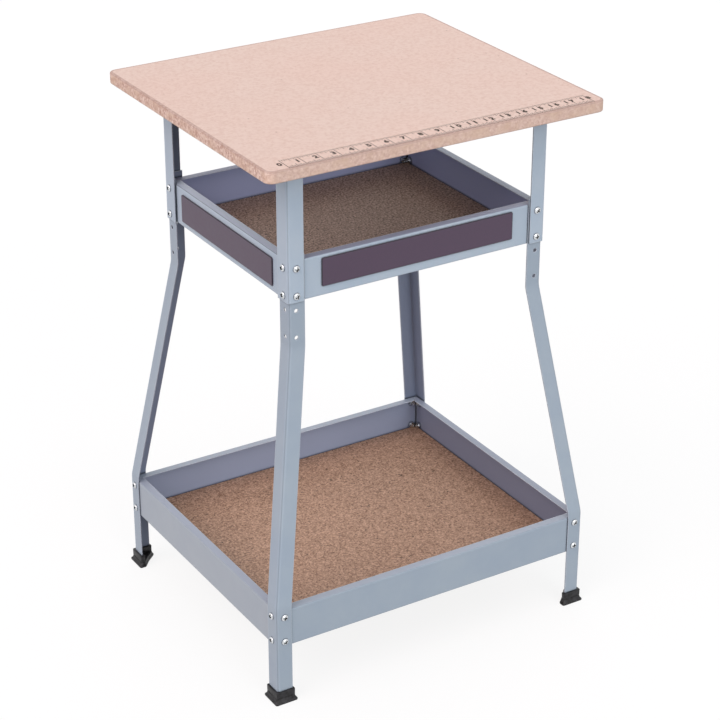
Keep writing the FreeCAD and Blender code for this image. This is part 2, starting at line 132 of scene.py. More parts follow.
def felted_face(tree, place):
    """The colour of the board's pressed face and its felt: cloudy, with fine flecks and a few dark ones."""
    clouds = add(tree, "ShaderNodeTexNoise", {"Vector": place, "Scale": per(150), "Detail": 2.0})
    face = add(tree, "ShaderNodeMix", {"Factor": clouds, "A": srgb("#DDC2B6"), "B": srgb("#DCC9BE")},
               data_type="RGBA")
    # Fibre bundles are about 1 mm long; they are drawn 4.5 mm long to show at this distance.
    felt = add(tree, "ShaderNodeTexNoise",
               {"Vector": place, "Scale": per(4.5), "Detail": 3.0, "Roughness": 0.6})
    flecks = add(tree, "ShaderNodeMapRange",
                 {"Value": felt, "From Min": 0.42, "From Max": 0.72, "To Max": 0.5})
    face = add(tree, "ShaderNodeMix", {"Factor": flecks, "A": face, "B": srgb("#C8A698")},
               data_type="RGBA")
    bark = add(tree, "ShaderNodeTexVoronoi", {"Vector": place, "Scale": per(30)})
    bark_spot = add(tree, "ShaderNodeMapRange",
                    {"Value": bark.outputs["Distance"], "From Min": 0.055, "From Max": 0.03, "To Max": 0.5})
    face = add(tree, "ShaderNodeMix", {"Factor": bark_spot, "A": face, "B": srgb("#8C6C5E")},
               data_type="RGBA")
    return face, felt


def edge_grain(tree, place, across, half_width):
    """The grain of the board's edges, from 0 to 1.

    The two ends are left as sawn, with an open grain; the front and rear edges are sanded finer.
    """
    at_end = add(tree, "ShaderNodeMapRange", {"Value": across, "From Min": half_width - BOARD_CORNER,
                                              "From Max": half_width - 1 * MM})
    # The grain is about 1 mm; it is drawn at 3.2 and 5 mm to show.
    grains = add(tree, "ShaderNodeTexNoise",
                 {"Vector": place, "Scale": per(3.2), "Detail": 4.0, "Roughness": 0.7})
    fine = add(tree, "ShaderNodeMapRange",
               {"Value": grains, "From Min": 0.3, "From Max": 0.7, "To Min": 0.15, "To Max": 0.85})
    pores = add(tree, "ShaderNodeTexNoise",
                {"Vector": place, "Scale": per(5), "Detail": 4.0, "Roughness": 0.75})
    coarse = add(tree, "ShaderNodeMapRange", {"Value": pores, "From Min": 0.38, "From Max": 0.62})
    return add(tree, "ShaderNodeMix", {"Factor": at_end, "A": fine, "B": coarse})


def sanded_fibreboard():
    """Medium-density fibreboard, sanded and left bare.

    The face is pressed felt, pale and matt. The sawn and rounded edges open the looser core, which is darker
    and grainier, and the rounded arris is darker still, partly as painted shade.
    """
    material, tree, shader, place = new_finish("sanded_fibreboard", {"Specular IOR Level": 0.3})
    low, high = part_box("top_board")
    face, felt = felted_face(tree, place)
    quarter = add(tree, "ShaderNodeVectorMath", {0: place}, operation="ABSOLUTE")
    across = add(tree, "ShaderNodeSeparateXYZ", {"Vector": quarter}).outputs["X"]
    grain = edge_grain(tree, place, across, high.x)
    core = add(tree, "ShaderNodeMix", {"Factor": grain, "A": srgb("#C79F8E"), "B": srgb("#FAE2D5")},
               data_type="RGBA")
    resin = add(tree, "ShaderNodeTexNoise", {"Vector": place, "Scale": per(18), "Detail": 2.0})
    resin_tone = add(tree, "ShaderNodeMapRange",
                     {"Value": resin, "From Min": 0.4, "From Max": 0.65, "To Max": 0.55})
    core = add(tree, "ShaderNodeMix", {"Factor": resin_tone, "A": core, "B": srgb("#E0C2AB")},
               data_type="RGBA")
    # The face's skin is 0.35 mm thick at the top and 1.2 mm at the underside, with the core between.
    level = add(tree, "ShaderNodeSeparateXYZ", {"Vector": place}).outputs["Z"]
    below_top = add(tree, "ShaderNodeMapRange",
                    {"Value": level, "From Min": high.z - 0.05 * MM, "From Max": high.z - 0.35 * MM})
    above_base = add(tree, "ShaderNodeMapRange",
                     {"Value": level, "From Min": low.z + 0.3 * MM, "From Max": low.z + 1.2 * MM})
    sawn = add(tree, "ShaderNodeMath", {0: below_top, 1: above_base}, operation="MULTIPLY")
    board = add(tree, "ShaderNodeMix", {"Factor": sawn, "A": face, "B": core}, data_type="RGBA")
    # The band 4 mm onto the face and the rounded arris are darker: partly the sander, which takes off the
    # pale skin there, and partly painted shade that damps the light the rounded arris catches. How far a
    # point is past the centres of the plan's rounded corners tells how near the edge is, around the corners
    # too.
    centres = Vector((high.x - BOARD_CORNER, high.y - BOARD_CORNER, high.z))
    past = add(tree, "ShaderNodeVectorMath", {0: quarter, 1: centres}, operation="SUBTRACT")
    past = add(tree, "ShaderNodeVectorMath", {0: past, 1: (0.0, 0.0, 0.0)}, operation="MAXIMUM")
    reach = add(tree, "ShaderNodeVectorMath", {0: past}, operation="LENGTH").outputs["Value"]
    rim = add(tree, "ShaderNodeMapRange",
              {"Value": reach, "From Min": BOARD_CORNER - 4.6 * MM, "From Max": BOARD_CORNER - 3.4 * MM})
    upper_edge = add(tree, "ShaderNodeMapRange",
                     {"Value": level, "From Min": high.z - 2.2 * MM, "From Max": high.z - 0.9 * MM})
    sanded = add(tree, "ShaderNodeMath", {0: rim, 1: upper_edge}, operation="MULTIPLY")
    rim_shade_tone = add(tree, "ShaderNodeMix", {"Factor": grain, "A": srgb("#AE9084"), "B": srgb("#C8AFA5")},
                   data_type="RGBA")
    board = add(tree, "ShaderNodeMix", {"Factor": sanded, "A": board, "B": rim_shade_tone}, data_type="RGBA")
    dull = add(tree, "ShaderNodeMapRange", {"Value": felt, "To Min": 0.68, "To Max": 0.88})
    relief = add(tree, "ShaderNodeBump", {"Height": felt, "Distance": 0.15 * MM, "Strength": 0.25})
    feed(tree, shader, {"Base Color": board, "Roughness": dull, "Normal": relief})
    return material


def pressed_hardboard(name, dark, pale):
    """Hardboard, hot-pressed wet fibre: a hard brown face with a slight sheen and ragged dark specks."""
    material, tree, shader, place = new_finish(name, {"Specular IOR Level": 0.4})
    # Fibre bundles are about 1 mm long; they are drawn 2.8 mm long to show at this distance.
    fibre = add(tree, "ShaderNodeTexNoise",
                {"Vector": place, "Scale": per(2.8), "Detail": 4.0, "Roughness": 0.7})
    mottle = add(tree, "ShaderNodeMapRange", {"Value": fibre, "From Min": 0.37, "From Max": 0.63})
    board = add(tree, "ShaderNodeMix", {"Factor": mottle, "A": srgb(dark), "B": srgb(pale)},
                data_type="RGBA")
    # Bark lies in ragged specks, many of 3 mm and a few of 8 mm.
    for size_mm, edge, heart, depth in ((3.0, 0.6, 0.67, 0.7), (8, 0.66, 0.71, 0.75)):
        bark = add(tree, "ShaderNodeTexNoise",
                   {"Vector": place, "Scale": per(size_mm), "Detail": 3.0, "Roughness": 0.6})
        speck = add(tree, "ShaderNodeMapRange",
                    {"Value": bark, "From Min": edge, "From Max": heart, "To Max": depth})
        board = add(tree, "ShaderNodeMix", {"Factor": speck, "A": board, "B": srgb("#3A261C")},
                    data_type="RGBA")
    sheen = add(tree, "ShaderNodeMapRange", {"Value": fibre, "To Min": 0.45, "To Max": 0.7})
    relief = add(tree, "ShaderNodeBump", {"Height": fibre, "Distance": 0.1 * MM, "Strength": 0.25})
    feed(tree, shader, {"Base Color": board, "Roughness": sheen, "Normal": relief})
    return material


def powder_coated_steel(name, thin, thick, inside_shade_tone, lip_shade_tone, fold_shade_share):
    """Cold-rolled sheet under a satin powder coat: even blue-grey with a fine orange peel.

    The tone drifts a little along each folded length, as the coat's thickness does. Painted light is laid on
    it:
    sheet edges are painted paler as a highlight, the folds get a painted dark line of shade as strong as the
    fold share, and inside faces, upward faces such as the lips, and the seams are painted darker as shade.
    """
    material, tree, shader, place = new_finish(name, {"Specular IOR Level": 0.4})
    drift = add(tree, "ShaderNodeTexNoise",
                {"Vector": place, "Scale": per(90), "Detail": 5.0, "Roughness": 0.65})
    tone = add(tree, "ShaderNodeMapRange", {"Value": drift, "From Min": 0.35, "From Max": 0.65})
    coat = add(tree, "ShaderNodeMix", {"Factor": tone, "A": srgb(thin), "B": srgb(thick)},
               data_type="RGBA")
    # How far a face looks away from the bench's upright middle line, times its distance from it.
    outwards = add(tree, "ShaderNodeVectorMath", {0: place, 1: (1.0, 1.0, 0.0)}, operation="MULTIPLY")
    normal = add(tree, "ShaderNodeNewGeometry").outputs["Normal"]
    turned = add(tree, "ShaderNodeVectorMath", {0: outwards, 1: normal}, operation="DOT_PRODUCT")
    # Inside faces are painted in the inside tone: painted shade, for the shadow the bench's own parts cast
    # on them.
    inside = add(tree, "ShaderNodeMapRange",
                 {"Value": turned.outputs["Value"], "From Min": -10 * MM, "From Max": -40 * MM})
    coat = add(tree, "ShaderNodeMix", {"Factor": inside, "A": coat, "B": srgb(inside_shade_tone)},
               data_type="RGBA")
    # Upward faces, such as the lips, are painted in the lip tone: painted shade, for the shadow of the parts
    # above them.
    upright = add(tree, "ShaderNodeSeparateXYZ", {"Vector": normal}).outputs["Z"]
    lip = add(tree, "ShaderNodeMapRange", {"Value": upright, "From Min": 0.8, "From Max": 0.97})
    coat = add(tree, "ShaderNodeMix", {"Factor": lip, "A": coat, "B": srgb(lip_shade_tone)}, data_type="RGBA")
    # A face along one axis has 1 here, and the middle of a fold 0.71.
    squareness = add(tree, "ShaderNodeVectorMath", {0: normal}, operation="ABSOLUTE")
    share = add(tree, "ShaderNodeSeparateXYZ", {"Vector": squareness}).outputs
    flatness = add(tree, "ShaderNodeMath", {0: share["X"], 1: share["Y"]}, operation="MAXIMUM")
    flatness = add(tree, "ShaderNodeMath", {0: flatness, 1: share["Z"]}, operation="MAXIMUM")
    # The folds are painted darker: a painted line of shade along each fold, as strong as the fold share.
    fold_shade = add(tree, "ShaderNodeMapRange",
               {"Value": flatness, "From Min": 0.9, "From Max": 0.78, "To Max": fold_shade_share})
    coat = add(tree, "ShaderNodeMix", {"Factor": fold_shade, "A": coat, "B": srgb("#343A45")}, data_type="RGBA")
    # Sheet edges are painted paler within 1.6 mm of them: a painted highlight along the edges.
    edge, eased = near_edges(tree, 1.6)
    edge_highlight = add(tree, "ShaderNodeMapRange", {"Value": edge, "To Max": 0.8})
    coat = add(tree, "ShaderNodeMix", {"Factor": edge_highlight, "A": coat, "B": srgb("#DDE5EE")},
               data_type="RGBA")
    # Seams, creases and the paint around bolt heads are painted darker by ambient occlusion: painted shade,
    # drawn 2 mm wide to show.
    reach = add(tree, "ShaderNodeAmbientOcclusion", {"Distance": 5 * MM}, samples=8).outputs["AO"]
    seam_shade = add(tree, "ShaderNodeMapRange",
               {"Value": reach, "From Min": 0.85, "From Max": 0.5, "To Max": 0.8})
    coat = add(tree, "ShaderNodeMix", {"Factor": seam_shade, "A": coat, "B": srgb("#343A45")}, data_type="RGBA")
    # Orange peel is about 1 mm from bump to bump; it is drawn at 1.6 mm to show.
    peel = add(tree, "ShaderNodeTexNoise", {"Vector": place, "Scale": per(1.6), "Detail": 1.0})
    satin = add(tree, "ShaderNodeMapRange", {"Value": drift, "To Min": 0.38, "To Max": 0.5})
    relief = add(tree, "ShaderNodeBump",
                 {"Height": peel, "Distance": 0.04 * MM, "Strength": 0.3, "Normal": eased})
    feed(tree, shader, {"Base Color": coat, "Roughness": satin, "Normal": relief})
    return material


def flexible_magnet():
    """Flexible magnet sheet: ferrite powder in rubber, matt plum-grey, with a near-black band painted along
    its edges as shade.
    """
    material, tree, shader, place = new_finish(
        "flexible_magnet", {"Specular IOR Level": 0.75, "Sheen Weight": 0.1, "Sheen Roughness": 0.4})
    skin = add(tree, "ShaderNodeTexNoise", {"Vector": place, "Scale": per(5), "Detail": 3.0})
    tone = add(tree, "ShaderNodeMix", {"Factor": skin, "A": srgb("#3D2743"), "B": srgb("#472F49")},
               data_type="RGBA")
    # A near-black band is painted within 1.4 mm of every edge: painted shade of the strip's edges.
    cut, eased = near_edges(tree, 1.4)
    edge_shaded = add(tree, "ShaderNodeMix", {"Factor": cut, "A": tone, "B": srgb("#060506")}, data_type="RGBA")
    matt = add(tree, "ShaderNodeMapRange", {"Value": skin, "To Min": 0.38, "To Max": 0.52})
    relief = add(tree, "ShaderNodeBump",
                 {"Height": skin, "Distance": 0.05 * MM, "Strength": 0.2, "Normal": eased})
    feed(tree, shader, {"Base Color": edge_shaded, "Roughness": matt, "Normal": relief})
    return material


def moulded_rubber():
    """Moulded black rubber: a dusty grey bloom on the faces, pitted by the mould, and near-black edges."""
    material, tree, shader, place = new_finish("moulded_rubber", {"Specular IOR Level": 0.3})
    bloom = add(tree, "ShaderNodeTexNoise", {"Vector": place, "Scale": per(5), "Detail": 3.0})
    dusty = add(tree, "ShaderNodeMapRange", {"Value": bloom, "From Min": 0.35, "From Max": 0.65})
    black = add(tree, "ShaderNodeMix", {"Factor": dusty, "A": srgb("#131314"), "B": srgb("#303033")},
                data_type="RGBA")
    # The edges are drawn near black for 1.2 mm.
    edge, eased = near_edges(tree, 1.2)
    black = add(tree, "ShaderNodeMix", {"Factor": edge, "A": black, "B": srgb("#050506")}, data_type="RGBA")
    pits = add(tree, "ShaderNodeTexNoise", {"Vector": place, "Scale": per(0.8), "Detail": 2.0})
    soft = add(tree, "ShaderNodeMapRange", {"Value": bloom, "To Min": 0.34, "To Max": 0.5})
    relief = add(tree, "ShaderNodeBump",
                 {"Height": pits, "Distance": 0.06 * MM, "Strength": 0.3, "Normal": eased})
    feed(tree, shader, {"Base Color": black, "Roughness": soft, "Normal": relief})
    return material


def bright_zinc():
    """Bright zinc plate on steel: a cool mirror that fine passivation clouds dull here and there."""
    material, tree, shader, place = new_finish("bright_zinc", {"Metallic": 1.0})
    passivation = add(tree, "ShaderNodeTexNoise", {"Vector": place, "Scale": per(3), "Detail": 3.0})
    plate = add(tree, "ShaderNodeMix", {"Factor": passivation, "A": srgb("#C6CBD0"), "B": srgb("#E3E5E6")},
                data_type="RGBA")
    polish = add(tree, "ShaderNodeMapRange", {"Value": passivation, "To Min": 0.16, "To Max": 0.36})
    # The recess and the head's base are painted dark from ambient occlusion: painted shade.
    reach = add(tree, "ShaderNodeAmbientOcclusion", {"Distance": 2.5 * MM}, samples=8).outputs["AO"]
    recess_shade = add(tree, "ShaderNodeMapRange",
                {"Value": reach, "From Min": 0.7, "From Max": 0.4, "To Max": 0.95})
    plate = add(tree, "ShaderNodeMix", {"Factor": recess_shade, "A": plate, "B": srgb("#1E1E1F")}, data_type="RGBA")
    feed(tree, shader, {"Base Color": plate, "Roughness": polish})
    return material


def rule_ink():
    """Screen-printed brown ink that has sunk a little into the bare board, so it is thinner in places."""
    material, tree, shader, place = new_finish("rule_ink", {"Specular IOR Level": 0.25, "Roughness": 0.75})
    soak = add(tree, "ShaderNodeTexNoise", {"Vector": place, "Scale": per(1.5), "Detail": 2.0})
    ink = add(tree, "ShaderNodeMix", {"Factor": soak, "A": srgb("#221A15"), "B": srgb("#4A3B31")},
              data_type="RGBA")
    feed(tree, shader, {"Base Color": ink})
    return material


def new_tree(name, sizes):
    """A Geometry Nodes tree with named size inputs; returns it with its input node."""
    tree = bpy.data.node_groups.new(name, "GeometryNodeTree")
    tree.interface.new_socket("Geometry", in_out="INPUT", socket_type="NodeSocketGeometry")
    for size in sizes:
        tree.interface.new_socket(size, in_out="INPUT", socket_type="NodeSocketFloat")
    tree.interface.new_socket("Geometry", in_out="OUTPUT", socket_type="NodeSocketGeometry")
    return tree, add(tree, "NodeGroupInput")


def end_tree(tree, instances, finish):
    """Close a tree as the export needs it: real geometry with its finish."""
    real = add(tree, "GeometryNodeRealizeInstances", {"Geometry": instances})
    done = add(tree, "GeometryNodeSetMaterial", {"Geometry": real, "Material": finish})
    add(tree, "NodeGroupOutput", {"Geometry": done})


def mesh_by(tree, sizes, seats):
    """Run a tree on these seats, with these sizes, and keep the result as a plain mesh."""
    carrier = bpy.data.objects.new("carrier", seats)
    bpy.context.scene.collection.objects.link(carrier)
    modifier = carrier.modifiers.new("nodes", "NODES")
    modifier.node_group = tree
    for item in tree.interface.items_tree:
        if item.in_out == "INPUT" and item.name in sizes:
            modifier[item.identifier] = sizes[item.name]
    depsgraph = bpy.context.evaluated_depsgraph_get()
    mesh = bpy.data.meshes.new_from_object(carrier.evaluated_get(depsgraph), depsgraph=depsgraph)
    bpy.data.objects.remove(carrier)
    return mesh


def new_piece(name, mesh):
    """An object of this mesh in the scene, both under this name."""
    mesh.name = name
    piece = bpy.data.objects.new(name, mesh)
    bpy.context.scene.collection.objects.link(piece)
    return piece


def shade(mesh, sharp_angle=35):
    """Smooth shading that keeps the edges sharper than this angle."""
    mesh.shade_smooth()
    mesh.set_sharp_from_angle(angle=math.radians(sharp_angle))


def seats_of(places):
    """One vertex for each fastener, where its head or nut seats, with the way it faces."""
    mesh = bpy.data.meshes.new("seats")
    mesh.from_pydata([seat for seat, facing in places], [], [])
    ways = mesh.attributes.new("facing", "FLOAT_VECTOR", "POINT")
    ways.data.foreach_set("vector", [value for seat, facing in places for value in facing])
    return mesh


def on_seats(tree, group, shape, seed):
    """Put a shape on every seat, its Z along the way the seat faces and turned at random about it."""
    facing = add(tree, "GeometryNodeInputNamedAttribute", {"Name": "facing"}, data_type="FLOAT_VECTOR")
    aligned = add(tree, "FunctionNodeAlignRotationToVector", {"Vector": facing}, axis="Z")
    turn = add(tree, "FunctionNodeRandomValue", {"Max": (0.0, 0.0, math.tau), "Seed": seed},
               data_type="FLOAT_VECTOR")
    turned = add(tree, "FunctionNodeRotateRotation", {"Rotation": aligned, "Rotate By": turn},
                 rotation_space="LOCAL")
    return add(tree, "GeometryNodeInstanceOnPoints",
               {"Points": group.outputs["Geometry"], "Instance": shape, "Rotation": turned})


BOLT_SIZES = ("Head radius", "Head height", "Dome radius", "Recess length", "Recess width", "Recess depth",
              "Shank radius", "Shank length", "Thread start", "Thread length", "Thread pitch",
              "Core radius", "Ridge radius")
HEAD_FACETS = 28
DOME_FACETS = 36
SHANK_FACETS = 20
THREAD_FACETS = 16
# The ellipsoid that turns down a nut's corners is this much wider than they are.
NUT_EASE = 1.03
# Points that the cuts leave closer together than this are one.
WELD = 0.002 * MM


def bolt_head(tree, size):
    """A drum cut by a slightly wider ellipsoid, which leaves a rim under the dome, and two crossed slots."""
    drum = add(tree, "GeometryNodeMeshCylinder",
               {"Vertices": HEAD_FACETS, "Radius": size["Head radius"], "Depth": size["Head height"]})
    middle = add(tree, "ShaderNodeMath", {0: size["Head height"], 1: 0.5}, operation="MULTIPLY")
    drum_place = add(tree, "ShaderNodeCombineXYZ", {"Z": middle})
    seated = add(tree, "GeometryNodeTransform",
                 {"Geometry": drum.outputs["Mesh"], "Translation": drum_place})
    ball = add(tree, "GeometryNodeMeshUVSphere",
               {"Segments": DOME_FACETS, "Rings": DOME_FACETS // 2, "Radius": 1.0})
    dome_size = add(tree, "ShaderNodeCombineXYZ",
                    {"X": size["Dome radius"], "Y": size["Dome radius"], "Z": size["Head height"]})
    dome = add(tree, "GeometryNodeTransform", {"Geometry": ball.outputs["Mesh"], "Scale": dome_size})
    head = add(tree, "GeometryNodeMeshBoolean", {"Mesh": [seated, dome]},
               operation="INTERSECT", solver="EXACT")
    slot_high = add(tree, "ShaderNodeMath", {0: size["Recess depth"], 1: 2.0}, operation="MULTIPLY")
    slot_size = add(tree, "ShaderNodeCombineXYZ",
                    {"X": size["Recess length"], "Y": size["Recess width"], "Z": slot_high})
    slot = add(tree, "GeometryNodeMeshCube", {"Size": slot_size}).outputs["Mesh"]
    head_top = add(tree, "ShaderNodeCombineXYZ", {"Z": size["Head height"]})
    slots = [add(tree, "GeometryNodeTransform",
                 {"Geometry": slot, "Translation": head_top, "Rotation": (0.0, 0.0, turn)})
             for turn in (0.0, math.pi / 2)]
    recessed = add(tree, "GeometryNodeMeshBoolean", {"Mesh 1": head, "Mesh 2": slots},
                   operation="DIFFERENCE", solver="EXACT")
    return add(tree, "GeometryNodeMergeByDistance", {"Geometry": recessed, "Distance": WELD})


def bolt_shank(tree, size):
    """The plain part of the shank, down from the head's seat."""
    rod = add(tree, "GeometryNodeMeshCylinder",
              {"Vertices": SHANK_FACETS, "Radius": size["Shank radius"], "Depth": size["Shank length"]})
    middle = add(tree, "ShaderNodeMath", {0: size["Shank length"], 1: -0.5}, operation="MULTIPLY")
    rod_place = add(tree, "ShaderNodeCombineXYZ", {"Z": middle})
    return add(tree, "GeometryNodeTransform", {"Geometry": rod.outputs["Mesh"], "Translation": rod_place})


def bolt_thread(tree, size):
    """The threaded end: a core, and a three-sided ridge wound around it from the tip up."""
    tip = add(tree, "ShaderNodeMath", {0: size["Thread start"], 1: size["Thread length"]}, operation="ADD")
    tip = add(tree, "ShaderNodeMath", {0: tip, 1: -1.0}, operation="MULTIPLY")
    middle = add(tree, "ShaderNodeMath", {0: size["Thread length"], 1: 0.5, 2: tip},
                 operation="MULTIPLY_ADD")
    rod = add(tree, "GeometryNodeMeshCylinder",
              {"Vertices": THREAD_FACETS, "Radius": size["Core radius"], "Depth": size["Thread length"]})
    core_place = add(tree, "ShaderNodeCombineXYZ", {"Z": middle})
    core = add(tree, "GeometryNodeTransform", {"Geometry": rod.outputs["Mesh"], "Translation": core_place})
    turns = add(tree, "ShaderNodeMath", {0: size["Thread length"], 1: size["Thread pitch"]},
                operation="DIVIDE")
    helix = add(tree, "GeometryNodeCurveSpiral",
                {"Resolution": THREAD_FACETS, "Rotations": turns, "Start Radius": size["Core radius"],
                 "End Radius": size["Core radius"], "Height": size["Thread length"]})
    section = add(tree, "GeometryNodeCurvePrimitiveCircle",
                  {"Resolution": 3, "Radius": size["Ridge radius"]})
    wound = add(tree, "GeometryNodeCurveToMesh",
                {"Curve": helix, "Profile Curve": section.outputs["Curve"], "Fill Caps": True})
    ridge_place = add(tree, "ShaderNodeCombineXYZ", {"Z": tip})
    ridge = add(tree, "GeometryNodeTransform", {"Geometry": wound, "Translation": ridge_place})
    return core, ridge


def bolt_tree(finish):
    """Pan-head bolts with a cross recess: a domed head, a plain shank and an end with a helical thread."""
    tree, group = new_tree("pan_head_bolts", BOLT_SIZES)
    size = group.outputs
    parts = [bolt_head(tree, size), bolt_shank(tree, size), *bolt_thread(tree, size)]
    whole = add(tree, "GeometryNodeJoinGeometry", {"Geometry": parts})
    end_tree(tree, on_seats(tree, group, whole, seed=7), finish)
    return tree


def nut_tree(finish):
    """Hexagon nuts whose corners are turned down at both faces, with a plain bore."""
    tree, group = new_tree("hexagon_nuts", ("Corner radius", "Height", "Seat depth", "Bore radius"))
    size = group.outputs
    prism = add(tree, "GeometryNodeMeshCylinder",
                {"Vertices": 6, "Radius": size["Corner radius"], "Depth": size["Height"]})
    # An ellipsoid just wider than the corners at mid height takes them down at the two faces.
    ball = add(tree, "GeometryNodeMeshUVSphere",
               {"Segments": DOME_FACETS, "Rings": DOME_FACETS // 2, "Radius": 1.0})
    wide = add(tree, "ShaderNodeMath", {0: size["Corner radius"], 1: NUT_EASE}, operation="MULTIPLY")
    ball_size = add(tree, "ShaderNodeCombineXYZ", {"X": wide, "Y": wide, "Z": size["Height"]})
    turned = add(tree, "GeometryNodeTransform", {"Geometry": ball.outputs["Mesh"], "Scale": ball_size})
    chamfered = add(tree, "GeometryNodeMeshBoolean", {"Mesh": [prism.outputs["Mesh"], turned]},
                    operation="INTERSECT", solver="EXACT")
    drill_long = add(tree, "ShaderNodeMath", {0: size["Height"], 1: 2.0}, operation="MULTIPLY")
    drill = add(tree, "GeometryNodeMeshCylinder",
                {"Vertices": SHANK_FACETS, "Radius": size["Bore radius"], "Depth": drill_long})
    bored = add(tree, "GeometryNodeMeshBoolean", {"Mesh 1": chamfered, "Mesh 2": drill.outputs["Mesh"]},
                operation="DIFFERENCE", solver="EXACT")
    bored = add(tree, "GeometryNodeMergeByDistance", {"Geometry": bored, "Distance": WELD})
    seat = add(tree, "ShaderNodeMath", {0: size["Seat depth"], 1: -1.0}, operation="MULTIPLY")
    middle = add(tree, "ShaderNodeMath", {0: size["Height"], 1: -0.5, 2: seat}, operation="MULTIPLY_ADD")
    nut_place = add(tree, "ShaderNodeCombineXYZ", {"Z": middle})
    placed = add(tree, "GeometryNodeTransform", {"Geometry": bored, "Translation": nut_place})
    end_tree(tree, on_seats(tree, group, placed, seed=11), finish)
    return tree


def leg_seats(legs, levels):
    """Where the bolts of four legs seat, the upper or the lower ones: on both flanges, at these levels."""
    places = []
    for corner, side_x, side_y in CORNERS:
        low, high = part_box(legs + corner)
        outer_x = high.x if side_x > 0 else low.x
        outer_y = high.y if side_y > 0 else low.y
        for level in levels:
            places.append(((outer_x - side_x * HOLE_INSET, outer_y, level), (0.0, side_y, 0.0)))
            places.append(((outer_x, outer_y - side_y * HOLE_INSET, level), (side_x, 0.0, 0.0)))
    return places


def make_fasteners(finish):
    """Bolts, nuts and wood screws in place of their plain solids."""
    bolts = bolt_tree(finish)
    nuts = nut_tree(finish)
    m5_bolt = {"Head radius": 4.75 * MM, "Head height": 3.2 * MM, "Dome radius": 5.2 * MM,
               "Recess length": 6.0 * MM, "Recess width": 2.1 * MM, "Recess depth": 2.4 * MM,
               "Shank radius": 2.5 * MM, "Shank length": LEG_STEEL, "Thread pitch": 0.8 * MM,
               "Core radius": 2.25 * MM, "Ridge radius": 0.24 * MM}
    m5_nut = {"Corner radius": 4.62 * MM, "Height": NUT_HIGH, "Bore radius": 2.52 * MM}
    made = []
    for name, body, legs, levels, inset, thread_start in (
            ("lap", UPPER, "upper_leg_", LAP_LEVELS, UPPER_PANEL_INSET, UPPER_PANEL_INSET),
            ("lower_tray", LOWER, "lower_leg_", LOWER_LEVELS, LOWER_PANEL_INSET, LEG_STEEL)):
        seat = inset + SHEET
        seats = seats_of(leg_seats(legs, levels))
        thread_long = seat + NUT_HIGH + BOLT_TAIL - thread_start
        bolt = {**m5_bolt, "Thread start": thread_start, "Thread length": thread_long}
        nut = {**m5_nut, "Seat depth": seat}
        bolted = new_piece(name + "_pan_head_bolts", mesh_by(bolts, bolt, seats.copy()))
        made.append((bolted, body, name + "_bolts"))
        nutted = new_piece(name + "_hexagon_nuts", mesh_by(nuts, nut, seats))
        made.append((nutted, body, name + "_nuts"))

    wood_screw = {**m5_bolt, "Head radius": 4.0 * MM, "Head height": 2.6 * MM, "Dome radius": 4.4 * MM,
                  "Recess length": 4.6 * MM, "Recess width": 1.1 * MM, "Recess depth": 1.4 * MM,
                  "Shank radius": 2.0 * MM, "Thread start": LEG_STEEL, "Thread length": 11 * MM,
                  "Thread pitch": 1.6 * MM, "Core radius": 1.55 * MM, "Ridge radius": 0.44 * MM}
    under = [((side_x * x, side_y * TAB_SCREW_Y, TAB_UNDERSIDE), (0.0, 0.0, -1.0))
             for _, side_x, side_y in CORNERS for x in TAB_SCREW_X]
    screws = new_piece("top_wood_screws", mesh_by(bolts, wood_screw, seats_of(under)))
    made.append((screws, UPPER, "top_screws"))
    for piece, body, node in made:
        shade(piece.data)
        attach(piece, body)
        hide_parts(node)


RULE_START = -221.3 * MM
RULE_INCHES = 18
RULE_BACK = -191.0 * MM
RULE_FRONT = -220.3 * MM
# Ticks within an inch, along the back and the front of the rule: the first one and the step to the next, as
# parts of an inch, and the length and the width in mm.
BACK_TICKS = ((1 / 16, 1 / 8, 3.2, 0.3), (1 / 8, 1 / 4, 4.8, 0.5), (1 / 4, 1 / 2, 6.0, 0.6),
              (1 / 2, 1, 7.0, 0.7))
FRONT_TICKS = ((1 / 16, 1 / 8, 5.4, 0.4), (1 / 8, 1 / 4, 7.0, 0.6), (1 / 4, 1 / 2, 8.4, 0.7),
               (1 / 2, 1, 10.2, 0.8))
INCH_LINE = 0.8 * MM
INK_HIGH = 0.06 * MM
INK_SUNK = 0.02 * MM
DIGIT_HIGH = 9.6 * MM
DIGIT_BOLD = 0.05
DIGIT_MIDDLE = -203.0 * MM
# How far the digits of a number stand from its line.
ONE_DIGIT = (-5.5 * MM,)
TWO_DIGITS = (-8.5 * MM, 1.4 * MM)


def tick_tree(finish):
    """A row of equal ticks."""
    tree, group = new_tree("rule_ticks", ("First", "Step", "Count", "Middle", "Level", "Length", "Ink width",
                                          "Ink height"))
    size = group.outputs
    first = add(tree, "ShaderNodeCombineXYZ", {"X": size["First"], "Y": size["Middle"], "Z": size["Level"]})
    step = add(tree, "ShaderNodeCombineXYZ", {"X": size["Step"]})
    row = add(tree, "GeometryNodeMeshLine",
              {"Count": size["Count"], "Start Location": first, "Offset": step})
    stroke_size = add(tree, "ShaderNodeCombineXYZ",
                      {"X": size["Ink width"], "Y": size["Length"], "Z": size["Ink height"]})
    stroke = add(tree, "GeometryNodeMeshCube", {"Size": stroke_size}).outputs["Mesh"]
    end_tree(tree, add(tree, "GeometryNodeInstanceOnPoints", {"Points": row, "Instance": stroke}), finish)
    return tree


